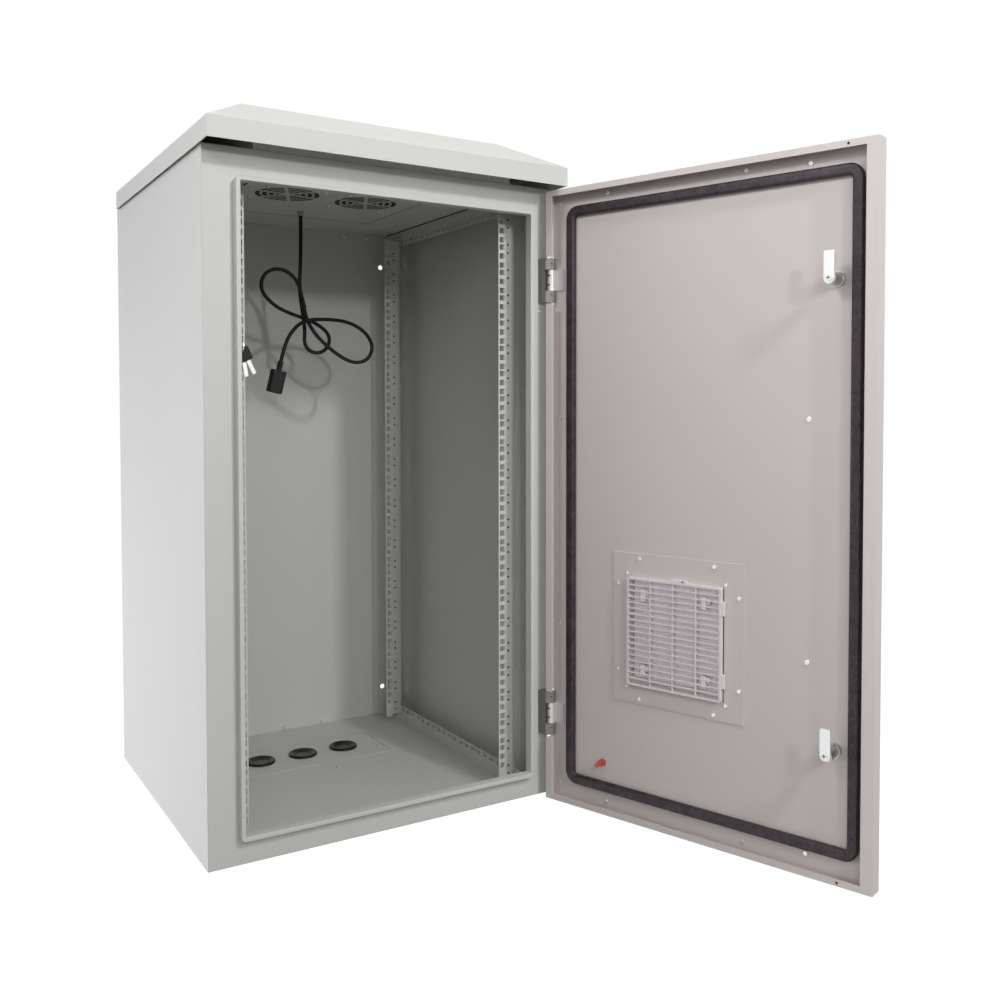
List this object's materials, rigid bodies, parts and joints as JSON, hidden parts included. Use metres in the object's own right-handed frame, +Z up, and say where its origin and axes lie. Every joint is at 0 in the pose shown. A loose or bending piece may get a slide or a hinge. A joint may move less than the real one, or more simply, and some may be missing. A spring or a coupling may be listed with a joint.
{
  "type": "outdoor wall-mounted equipment cabinet",
  "caption": "Wall-mounted outdoor rack cabinet in folded sheet metal with a hipped roof hood, gasketed hinged door, cam locks, filter vent, rack rails and roof fans.",
  "frame": {"origin": "centre of the body's underside, on the plane it stands on", "axes": "+X to the right seen from the front, +Y from the door towards the wall, +Z up"},
  "size_m": [0.789, 1.1818, 1.1485],
  "materials": {
    "grey_coat": "fine-textured light grey powder coat",
    "plated_steel": "zinc-plated steel",
    "hinge_zinc": "satin cast zinc",
    "bright_zinc": "bright plated zinc",
    "black_plastic": "matt black moulding",
    "foam_gasket": "closed-cell foam with a skin",
    "black_rubber": "matt rubber",
    "cord_sheath": "smooth flexible sheath",
    "white_plastic": "off-white moulding",
    "filter_fleece": "loose white fleece",
    "grey_plastic": "light grey moulding",
    "copper": "plain copper"
  },
  "bodies": {
    "cabinet": {"side_panel_left": "grey_coat", "side_panel_right": "grey_coat", "back_panel": "grey_coat", "floor_panel": "grey_coat", "top_panel": "grey_coat", "front_frame": "grey_coat", "roof_hood": "grey_coat", "hood_support_frame": "grey_coat", "fan_tray": "grey_coat", "fan_housing_left": "black_plastic", "fan_housing_right": "black_plastic", "fan_screws": "plated_steel", "front_rail_left": "grey_coat", "front_rail_right": "grey_coat", "rear_rail_left": "grey_coat", "rear_rail_right": "grey_coat", "depth_bar_lower_left": "grey_coat", "depth_bar_lower_right": "grey_coat", "depth_bar_upper_left": "grey_coat", "depth_bar_upper_right": "grey_coat", "rail_bolts": "plated_steel", "gland_plate": "grey_coat", "cable_grommets": "black_rubber", "gland_plate_screws": "plated_steel", "hinge_frame_leaf_upper": "hinge_zinc", "hinge_frame_leaf_lower": "hinge_zinc", "hinge_pins": "plated_steel", "hinge_frame_screws": "plated_steel", "cord_gland": "grey_plastic", "fan_cord": "cord_sheath", "cord_plug": "black_plastic", "plug_pins": "plated_steel", "cord_tie": "black_plastic", "key_ring": "plated_steel", "key_heads": "black_plastic", "key_blades": "plated_steel"},
    "door": {"door_panel": "grey_coat", "door_gasket": "foam_gasket", "vent_plate": "grey_coat", "vent_plate_screws": "plated_steel", "filter_frame": "white_plastic", "filter_screws": "plated_steel", "filter_mat": "filter_fleece", "vent_louvre": "grey_plastic", "door_rivets": "plated_steel", "hinge_door_leaf_upper": "bright_zinc", "hinge_door_leaf_lower": "bright_zinc", "lock_housing_upper": "bright_zinc", "lock_housing_lower": "bright_zinc", "earth_stud": "copper", "earth_nut": "copper"},
    "lock_upper": {"lock_plug_upper": "bright_zinc", "lock_cam_upper": "bright_zinc"},
    "lock_lower": {"lock_plug_lower": "bright_zinc", "lock_cam_lower": "bright_zinc"},
    "fan_left": {"fan_rotor_left": "black_plastic"},
    "fan_right": {"fan_rotor_right": "black_plastic"}
  },
  "joints": [
    {"name": "door_hinge", "type": "hinge", "parent": "cabinet", "child": "door", "pos_m": [0.296, -0.318, 0.53], "axis": [0, 0, 1], "range_deg": [-107.7, 12.3]},
    {"name": "lock_upper_turn", "type": "hinge", "parent": "door", "child": "lock_upper", "pos_m": [0.43139, -0.82116, 0.869], "axis": [0.9527, 0.304, 0], "range_deg": [0, 90]},
    {"name": "lock_lower_turn", "type": "hinge", "parent": "door", "child": "lock_lower", "pos_m": [0.43139, -0.82116, 0.19], "axis": [0.9527, 0.304, 0], "range_deg": [0, 90]},
    {"name": "fan_left_spin", "type": "hinge", "parent": "cabinet", "child": "fan_left", "pos_m": [-0.075, -0.025, 1.08], "axis": [0, 0, 1], "continuous": true},
    {"name": "fan_right_spin", "type": "hinge", "parent": "cabinet", "child": "fan_right", "pos_m": [0.075, -0.025, 1.08], "axis": [0, 0, 1], "continuous": true}
  ]
}
